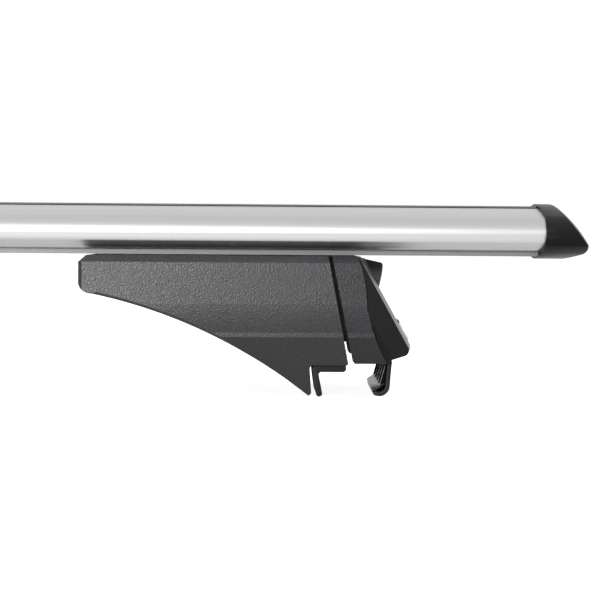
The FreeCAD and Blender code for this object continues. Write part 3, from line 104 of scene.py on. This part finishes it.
class Finish:
    """One material: a Principled shader and the nodes that feed it."""

    def __init__(self, name, colour, roughness, **constants):
        self.material = bpy.data.materials.new(name)
        self.material.use_nodes = True
        self.tree = self.material.node_tree
        self.shader = self.tree.nodes["Principled BSDF"]
        self.shader.inputs["Base Color"].default_value = (*colour, 1)
        self.shader.inputs["Roughness"].default_value = roughness
        for socket, value in constants.items():
            self.shader.inputs[socket.replace("_", " ")].default_value = value
        self.place = self.node("ShaderNodeTexCoord").outputs["Object"]

    def node(self, kind, settings=None, sockets=None):
        return add_node(self.tree, kind, settings, sockets)

    def grain(self, size, stretch=(1, 1, 1), detail=3):
        """Noise with spots of a size in metres, drawn out along the axes by the stretch."""
        scaled = self.node("ShaderNodeVectorMath", {"operation": "MULTIPLY"}, {
            0: self.place, 1: tuple(1 / (size * s) for s in stretch)})
        noise = self.node("ShaderNodeTexNoise", None, {
            "Vector": scaled.outputs[0], "Scale": 1, "Detail": detail})
        return Reading(self, noise.outputs[0])

    def pebble(self, size):
        """Rounded cells of a size in metres, as on grained mouldings."""
        cells = self.node("ShaderNodeTexVoronoi", {"feature": "SMOOTH_F1"}, {
            "Vector": self.place, "Scale": 1 / size, "Smoothness": 0.6})
        return Reading(self, cells.outputs["Distance"])

    def rise(self, start, end, axis="Z"):
        """Runs from 0 at one distance in metres to 1 at the other, and stays level beyond them."""
        parts = self.node("ShaderNodeSeparateXYZ", None, {0: self.place})
        away = self.node("ShaderNodeMath", {"operation": "ABSOLUTE"}, {0: parts.outputs[axis]})
        ramp = self.node("ShaderNodeMapRange", None, {
            "Value": away.outputs[0], "From Min": start, "From Max": end})
        return Reading(self, ramp.outputs[0])

    def feed(self, socket, value):
        """Lets a reading or another node's output set a socket of the shader."""
        self.tree.links.new(getattr(value, "socket", value), self.shader.inputs[socket])

    def mix(self, share, first, second):
        """A colour between two colours by a share from 0 to 1."""
        return self.node("ShaderNodeMix", {"data_type": "RGBA"}, {0: share, 6: first, 7: second}).outputs[2]

    def tint(self, share, dark, light):
        """Base colour between two colours by a share from 0 to 1."""
        self.feed("Base Color", self.mix(share, (*dark, 1), (*light, 1)))

    def relief(self, height):
        """Bumps from a height in metres. A height that falls along Z tilts the shading upward."""
        bump = self.node("ShaderNodeBump", None, {"Height": height, "Distance": 1, "Strength": 1})
        self.feed("Normal", bump.outputs["Normal"])


# Metres within which two points are one, the fold within which two faces are one, and the least
# fold in degrees that an edge needs to be rounded.
SAME_POINT = 2e-6
FLAT_ENOUGH = math.radians(0.4)
LEAST_FOLD = 6


def merged(node):
    """A bmesh of a CAD node's faces, joined along their borders."""
    work = bmesh.new()
    work.from_mesh(frame["nodes"][node].data)
    bmesh.ops.remove_doubles(work, verts=work.verts, dist=SAME_POINT)
    return work


def as_object(work, name, mesh_name):
    """Turns a bmesh into an object of the scene, at the origin."""
    mesh = bpy.data.meshes.new(mesh_name)
    work.to_mesh(mesh)
    work.free()
    made = bpy.data.objects.new(name, mesh)
    bpy.context.scene.collection.objects.link(made)
    return made


def settle(piece):
    """Makes what a piece's modifiers show its plain mesh."""
    bpy.context.view_layer.update()
    shown = piece.evaluated_get(bpy.context.evaluated_depsgraph_get())
    plain = bpy.data.meshes.new_from_object(shown)
    piece.modifiers.clear()
    piece.data = plain


def bring_out(nodes, finish, edge=0.0, smooth=32):
    """Shows CAD nodes with joined faces, edges rounded by a width in metres and a finish.

    Folds of fewer degrees than the last value are shaded smooth.
    """
    for node in nodes:
        work = merged(node)
        bmesh.ops.dissolve_limit(work, angle_limit=FLAT_ENOUGH, verts=work.verts, edges=work.edges)
        piece = as_object(work, node + "_piece", node + "_shape")
        for layer in ("custom_normal", "sharp_edge", "sharp_face"):
            if piece.data.attributes.get(layer):
                piece.data.attributes.remove(piece.data.attributes[layer])
        if edge:
            bevel = piece.modifiers.new("edges", "BEVEL")
            bevel.width = edge
            bevel.segments = 2
            bevel.limit_method = "ANGLE"
            bevel.angle_limit = math.radians(max(smooth, LEAST_FOLD))
            bevel.use_clamp_overlap = True
            settle(piece)
        piece.data.polygons.foreach_set("use_smooth", [True] * len(piece.data.polygons))
        piece.data.set_sharp_from_angle(angle=math.radians(smooth))
        piece.data.materials.clear()
        piece.data.materials.append(finish.material)
        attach(piece, frame["nodes"][node]["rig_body"])
        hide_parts(node)


# Heights in metres at which the bar's shading changes, from its underside to its crown.
UNDERSIDE = 0.0843
LIPS = 0.0854
BELLY = 0.0858
UNDER_NOSE = 0.0868
NOSE = 0.0945
CROWN = 0.1123

anodised = Finish("satin anodised aluminium", (0.54, 0.545, 0.55), 0.42, Metallic=1)
above_painted_shade = anodised.rise(LIPS, BELLY)
die_lines = anodised.grain(0.0012, (160, 1, 1), 4)
anodised.feed("Roughness", die_lines * 0.08 + 0.57 - above_painted_shade * 0.2)
streaks = anodised.grain(0.0009, (220, 1, 1), 2) * 0.1 + 0.9
# Below the lips the bar's colour is painted darker: painted shade on the flange along the bar's underside.
anodised.tint(streaks * above_painted_shade, (0.2, 0.201, 0.203), (0.555, 0.558, 0.562))
rolled_in = anodised.rise(NOSE, UNDER_NOSE)
anodised.relief(rolled_in * rolled_in * 0.007 - anodised.rise(UNDERSIDE, CROWN) * 0.005)
bring_out(["bar"], anodised)

# Top strip: extruded black rubber pressed into the bar's upper slot, so that a load sits still.
# Its top stands a little proud of the bar and has a matte, slightly dusty face.

strip_rubber = Finish("strip rubber", (0.06, 0.06, 0.061), 0.72, Specular_IOR_Level=0.3)
dust = strip_rubber.grain(0.006, (6, 1, 1), 4)
strip_rubber.tint(dust, (0.05, 0.05, 0.051), (0.08, 0.08, 0.081))
strip_rubber.relief(strip_rubber.grain(0.0006, (12, 1, 1), 2) * 0.00006)
bring_out(["top_strip"], strip_rubber, 0.0003)

# End caps: moulded black plastic, pushed into the bar's hollows over its last few millimetres.
# The outer face is slanted and domed, and the moulding is smooth with a low sheen.


def both(*names):
    """The right-hand and the left-hand node of each name."""
    return [name + side for name in names for side in ("_right", "_left")]


# Heights between which the shading of the cap's outer face leans upward.
CAP_UNDERSIDE = 0.082
CAP_NOSE = 0.096

cap_plastic = Finish("end cap plastic", (0.008, 0.008, 0.0082), 0.34, Specular_IOR_Level=0.07)
cap_plastic.feed("Roughness", cap_plastic.grain(0.02, (1, 1, 1), 4) * 0.12 + 0.28)
cap_skin = cap_plastic.grain(0.0005, (1, 1, 1), 2) * 0.00003
cap_plastic.relief(cap_skin - cap_plastic.rise(CAP_UNDERSIDE, CAP_NOSE) * 0.005)
bring_out(both("end_cap"), cap_plastic, 0.0006)

# Foot covers: two grained black mouldings over the steel frame, parted by a slanted gap.
# The grain is a fine leather pattern; small screws hold them through the frame's sides.

# Heights at which a cover's side bends, and distances from the bar's middle at its inner end.
COVER_TOP = 0.082
COVER_MIDDLE = 0.054
HOLLOW_END = 0.0375
CREASE = 0.0347
INNER_END = 0.2985
INNER_FLAT = 0.3002


def cover_finish(name, gloss):
    """Black plastic with a fine grain that glints where it mirrors the light."""
    finish = Finish(name, (0.02, 0.02, 0.021), 0.4, Specular_IOR_Level=gloss)
    pebbles = finish.pebble(0.0009)
    specks = finish.grain(0.0007, (1, 1, 1), 2)
    wear = finish.grain(0.05, (1, 1, 1), 5)
    finish.tint(specks * 1.8 + wear * 0.6 - 0.7, (0.002, 0.002, 0.003), (0.026, 0.026, 0.029))
    finish.feed("Roughness", wear * 0.12 + specks * 0.5 + 0.06)
    hollow = finish.rise(COVER_MIDDLE, HOLLOW_END)
    leaning_in = finish.rise(COVER_MIDDLE, COVER_TOP) * 0.0013
    tucked_under = finish.rise(CREASE, 0) * 0.016
    turned_in = finish.rise(INNER_FLAT, INNER_END, "X") * 0.001
    bow = leaning_in + hollow * hollow * 0.0014 + tucked_under + turned_in
    finish.relief((pebbles + specks * 0.6) * 0.00012 - bow)
    return finish


bring_out(both("inner_cover"), cover_finish("inner cover plastic", 0.46), 0.0004, smooth=7)
bring_out(both("outer_cover"), cover_finish("outer cover plastic", 0.33), 0.0004, smooth=7)

# Lid: a smooth black moulding over the clamp screw, hinged at the foot's top on two short pins.
# Its outer face slants outward and carries the lock; a notch at the top clears the knob.

# Distances from the bar's middle line: up to the first the lid's colour is painted lighter, as painted
# light on its outer face, and past the second its side facets are painted darker, as painted shade.
FACETS_START = 0.0363
FACETS_FULL = 0.03645

lid_plastic = Finish("lid plastic", (0.009, 0.009, 0.0092), 0.32, Specular_IOR_Level=0.11)
painted_light_share = lid_plastic.rise(FACETS_FULL, FACETS_START, "Y")
lid_plastic.tint(painted_light_share, (0.006, 0.006, 0.0062), (0.075, 0.075, 0.077))
lid_plastic.feed("Roughness", lid_plastic.grain(0.03, (1, 1, 1), 4) * 0.12 + 0.26)
lid_plastic.relief(lid_plastic.grain(0.0005, (1, 1, 1), 2) * 0.00003)
bring_out(both("lock_lid"), lid_plastic, 0.0004, smooth=4)

# Lock: a turned and chromed barrel pressed into the lid, with a plug that takes the key.
# The plug's tail turns a steel cam up behind the latch pin of the frame.

chrome = Finish("lock chrome", (0.72, 0.72, 0.73), 0.16, Metallic=1)
bring_out(both("lock_barrel", "lock_plug"), chrome, 0.0002)

# Small steel pieces: the lock's cam and latch pin, the hinge and pivot pins, the bolts with their
# slot plate, and the clamp screw with its cross nut. They are turned or stamped and zinc plated.

zinc = Finish("zinc plated steel", (0.5, 0.5, 0.49), 0.36, Metallic=1)
zinc.feed("Roughness", zinc.grain(0.004, (1, 1, 1), 3) * 0.2 + 0.28)
bring_out(both("lock_cam", "latch_pin", "hinge_pins", "pivot_pin", "foot_bolts", "slot_plate",
               "cover_screws", "clamp_screw", "cross_nut"), zinc, 0.00015)

# Foot frame, thrust plate and clamp arm: folded and pressed steel, 2.5 to 3 mm, powder coated.
# The arm hangs on the pivot pin, and the screw draws its tab outward to close the jaw.

coated = Finish("black powder coat", (0.008, 0.008, 0.0082), 0.45, Specular_IOR_Level=0.22)
coated.relief(coated.grain(0.0014, (1, 1, 1), 2) * 0.00008)
coated.feed("Roughness", coated.grain(0.01, (1, 1, 1), 3) * 0.15 + 0.42)
bring_out(both("foot_frame", "thrust_plate", "clamp_arm"), coated, 0.0003)

# Clamp knob: a smooth drum of black plastic with a hexagon socket in its end for the key.
# The clamp screw is moulded into it.

knob_plastic = Finish("knob plastic", (0.03, 0.03, 0.0305), 0.4, Specular_IOR_Level=0.5)
knob_plastic.relief(knob_plastic.grain(0.0006, (1, 1, 1), 2) * 0.00004)
bring_out(both("clamp_knob"), knob_plastic, 0.0003)

# Rail pad and saddle: soft black mouldings that keep the clamp off the car's paint and the frame
# off the bar. The pad's lip stands over the rail's inner side.

pad_rubber = Finish("pad rubber", (0.012, 0.012, 0.0125), 0.6, Specular_IOR_Level=0.13)
bloom = pad_rubber.grain(0.008, (1, 1, 1), 4)
pad_rubber.tint(bloom, (0.008, 0.008, 0.0085), (0.02, 0.02, 0.0205))
pad_rubber.relief(pad_rubber.grain(0.0008, (1, 1, 1), 2) * 0.00006)
bring_out(both("rail_pad", "bar_saddle"), pad_rubber, 0.0003)

# Jaw lining: black rubber with five ribs, pressed into the clamp arm's hook.
# Its lip is polished by the rail; the face above the lip is dull.

# Heights between which the lining turns from polished to dull.
LIP_POLISHED = 0.0072
LIP_DULL = 0.0078

lining_rubber = Finish("jaw lining rubber", (0.002, 0.002, 0.0021), 0.8, Specular_IOR_Level=0.12)
lining_rubber.feed("Roughness", 1 - lining_rubber.rise(LIP_DULL, LIP_POLISHED) * 0.75)
bring_out(both("jaw_lining"), lining_rubber, 0.0002)

# Rib beads: thin pale rods along the long edges of the lining's ribs, a painted highlight where these edges
# catch the light.
# One bead follows each long edge of the five ribs.

# The pitch and the width are those of the lining's ribs. A fold sharper than the last value
# is a rib's edge, and the play allows for rounding in the CAD mesh.
RIB_PITCH = 0.0156
HALF_RIB = 0.0006
BEAD_RADIUS = 0.00016
RIB_PLAY = 0.00005
SHARP_FOLD = math.radians(60)

# The beads' pale colour is a painted highlight.
painted_highlight = Finish("painted highlight on rib edges", (0.2, 0.2, 0.202), 0.5, Specular_IOR_Level=0.3)
painted_highlight.tint(painted_highlight.grain(0.004, (1, 1, 1), 3), (0.12, 0.12, 0.122), (0.3, 0.3, 0.302))

beading = bpy.data.node_groups.new("rib highlight beads", "GeometryNodeTree")
beading.interface.new_socket("Lining", in_out="INPUT", socket_type="NodeSocketGeometry")
bead_sizes = {}
for label, size in (("Rib pitch", RIB_PITCH), ("Half rib width", HALF_RIB), ("Bead radius", BEAD_RADIUS)):
    entry = beading.interface.new_socket(label, in_out="INPUT", socket_type="NodeSocketFloat")
    bead_sizes[entry.identifier] = size
beading.interface.new_socket("Beads", in_out="OUTPUT", socket_type="NodeSocketGeometry")


def bead_step(kind, settings=None, sockets=None):
    """The first output of a node added to the beads' tree."""
    return add_node(beading, kind, settings, sockets).outputs[0]


given = add_node(beading, "NodeGroupInput").outputs
spot = bead_step("GeometryNodeInputPosition")
across = add_node(beading, "ShaderNodeSeparateXYZ", None, {0: spot}).outputs["Y"]
half_pitch = bead_step("ShaderNodeMath", {"operation": "MULTIPLY"}, {0: given["Rib pitch"], 1: 0.5})
from_rib = bead_step("ShaderNodeMath", {"operation": "PINGPONG"}, {0: across, 1: half_pitch})
on_side = bead_step("ShaderNodeMath", {"operation": "COMPARE"}, {
    0: from_rib, 1: given["Half rib width"], 2: RIB_PLAY})
fold = add_node(beading, "GeometryNodeInputMeshEdgeAngle").outputs["Signed Angle"]
outward = bead_step("ShaderNodeMath", {"operation": "GREATER_THAN"}, {0: fold, 1: SHARP_FOLD})
long_edges = bead_step("ShaderNodeMath", {"operation": "MULTIPLY"}, {0: on_side, 1: outward})
paths = bead_step("GeometryNodeMeshToCurve", None, {"Mesh": given["Lining"], "Selection": long_edges})
ring = bead_step("GeometryNodeCurvePrimitiveCircle", None, {
    "Resolution": 8, "Radius": given["Bead radius"]})
beads = bead_step("GeometryNodeCurveToMesh", None, {"Curve": paths, "Profile Curve": ring})
solid = bead_step("GeometryNodeRealizeInstances", None, {0: beads})
coloured = bead_step("GeometryNodeSetMaterial", None, {"Geometry": solid, "Material": painted_highlight.material})
add_node(beading, "NodeGroupOutput", None, {0: coloured})

for side in ("right", "left"):
    name = "rib_highlight_beads_" + side
    ribs = as_object(merged("jaw_lining_" + side), name, name)
    highlight_modifier = ribs.modifiers.new("beads", "NODES")
    highlight_modifier.node_group = beading
    for socket, size in bead_sizes.items():
        highlight_modifier[socket] = size
    settle(ribs)
    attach(ribs, "arm_" + side)

# Gap shade: a black rubber block on the frame's top in the slanted gap under the bar, put there as painted
# shade to darken the gap.
# It is a scene detail; the frame and the two covers hold it from three sides.

# Where the gap meets the bar: its distance from the bar's middle and the shade block's own height.
GAP_PLACE = 0.44395
SHADE_BLOCK_HEIGHT = 0.0805
SHADE_BLOCK_SIZE = (0.002, 0.05, 0.0024, 1)

for side, sign in (("right", 1), ("left", -1)):
    name = "gap_shade_block_" + side
    work = bmesh.new()
    seat = Matrix.Translation((sign * GAP_PLACE, 0, SHADE_BLOCK_HEIGHT))
    bmesh.ops.create_cube(work, size=1, matrix=seat @ Matrix.Diagonal(SHADE_BLOCK_SIZE))
    shade_block = as_object(work, name, name)
    shade_block.data.materials.append(pad_rubber.material)
    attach(shade_block, "foot_" + side)

# Floor and backdrop: plain and pale, without an edge in view. They look white to the camera and
# pale in mirror images, and light the part only a little, so that it keeps its shading.

FLOOR_SIZE = 60
FLOOR_COLOUR = (0.12, 0.12, 0.12)
FLOOR_SEEN = (0.22, 0.22, 0.22)
GLOW_SEEN = (0.93, 0.93, 0.93, 1)
GLOW_MIRRORED = (0.74, 0.74, 0.74, 1)
SKY_STRENGTH = 0.5

work = bmesh.new()
bmesh.ops.create_grid(work, x_segments=1, y_segments=1, size=FLOOR_SIZE / 2)
floor = as_object(work, "floor", "floor")
pale = Finish("studio floor", (0.9, 0.9, 0.9), 0.9, Emission_Strength=1, Specular_IOR_Level=0)
ray = pale.node("ShaderNodeLightPath").outputs
by_eye = ray["Is Camera Ray"]
mirrored = pale.node("ShaderNodeMath", {"operation": "MAXIMUM"}, {
    0: ray["Is Glossy Ray"], 1: ray["Is Transmission Ray"]}).outputs[0]
pale.tint(by_eye, FLOOR_COLOUR, FLOOR_SEEN)
glow = pale.mix(mirrored, (0, 0, 0, 1), GLOW_MIRRORED)
pale.feed("Emission Color", pale.mix(by_eye, glow, GLOW_SEEN))
floor.data.materials.append(pale.material)

world = bpy.data.worlds.new("studio")
bpy.context.scene.world = world
world.use_nodes = True
sky = world.node_tree
sky.nodes.clear()
way = add_node(sky, "ShaderNodeLightPath").outputs
strength = SKY_STRENGTH
for kind in ("Is Transmission Ray", "Is Glossy Ray", "Is Camera Ray"):
    larger = add_node(sky, "ShaderNodeMath", {"operation": "MAXIMUM"}, {0: strength, 1: way[kind]})
    strength = larger.outputs[0]
backdrop = add_node(sky, "ShaderNodeBackground", None, {"Color": (1, 1, 1, 1), "Strength": strength})
add_node(sky, "ShaderNodeOutputWorld", None, {"Surface": backdrop.outputs[0]})

# Lamps: a long soft box high above the bar, one left of the camera that the covers and the bar
# mirror as their sheen, a broad weak one behind the camera and one to the right for the lid.


def soft_lamp(name, place, target, width, height, power, mirrored=True):
    """A rectangular soft box; one that isn't mirrored shows in no reflection."""
    lamp = bpy.data.lights.new(name, "AREA")
    lamp.shape = "RECTANGLE"
    lamp.size = width
    lamp.size_y = height
    lamp.energy = power
    holder = bpy.data.objects.new(name, lamp)
    bpy.context.scene.collection.objects.link(holder)
    holder.location = place
    holder.rotation_euler = (Vector(target) - Vector(place)).to_track_quat("-Z", "Y").to_euler()
    holder.visible_glossy = mirrored


soft_lamp("high box", place=(0.35, -0.1, 2.3), target=(0.4, -0.05, 0.07),
          width=1.6, height=0.5, power=150, mirrored=False)
soft_lamp("left box", place=(-0.3, -1.75, 0.3), target=(0.3, 0, 0.09),
          width=0.9, height=0.55, power=29)
soft_lamp("camera box", place=(0.4, -1.9, 0.05), target=(0.4, 0, 0.09),
          width=3.2, height=1.3, power=4)
soft_lamp("right box", place=(2.3, -0.7, 1.0), target=(0.45, 0, 0.08),
          width=1.0, height=1.0, power=20, mirrored=False)

# Camera: level with the bar, in front of the right foot. Its place, turn and lens are worked out
# from where the bar's end and the foot's corners lie in the photograph, 600 pixels wide.

PHOTO_PIXELS = 600
FOCAL_PIXELS = 1428
SENSOR = 36
TURN = math.radians(-1.775)
LEAN = math.radians(0.423)

eye = bpy.data.cameras.new("camera")
eye.sensor_width = SENSOR
eye.lens = FOCAL_PIXELS * SENSOR / PHOTO_PIXELS
eye.shift_x = -0.0549
eye.shift_y = -0.1194
camera = bpy.data.objects.new("camera", eye)
bpy.context.scene.collection.objects.link(camera)
camera.location = (0.41952, -0.86783, 0.09826)
level = Matrix.Rotation(math.radians(90), 3, "X")
camera.rotation_euler = (Matrix.Rotation(TURN, 3, "Z") @ level @ Matrix.Rotation(LEAN, 3, "Z")).to_euler()
bpy.context.scene.camera = camera
bpy.context.scene.view_settings.view_transform = "Standard"
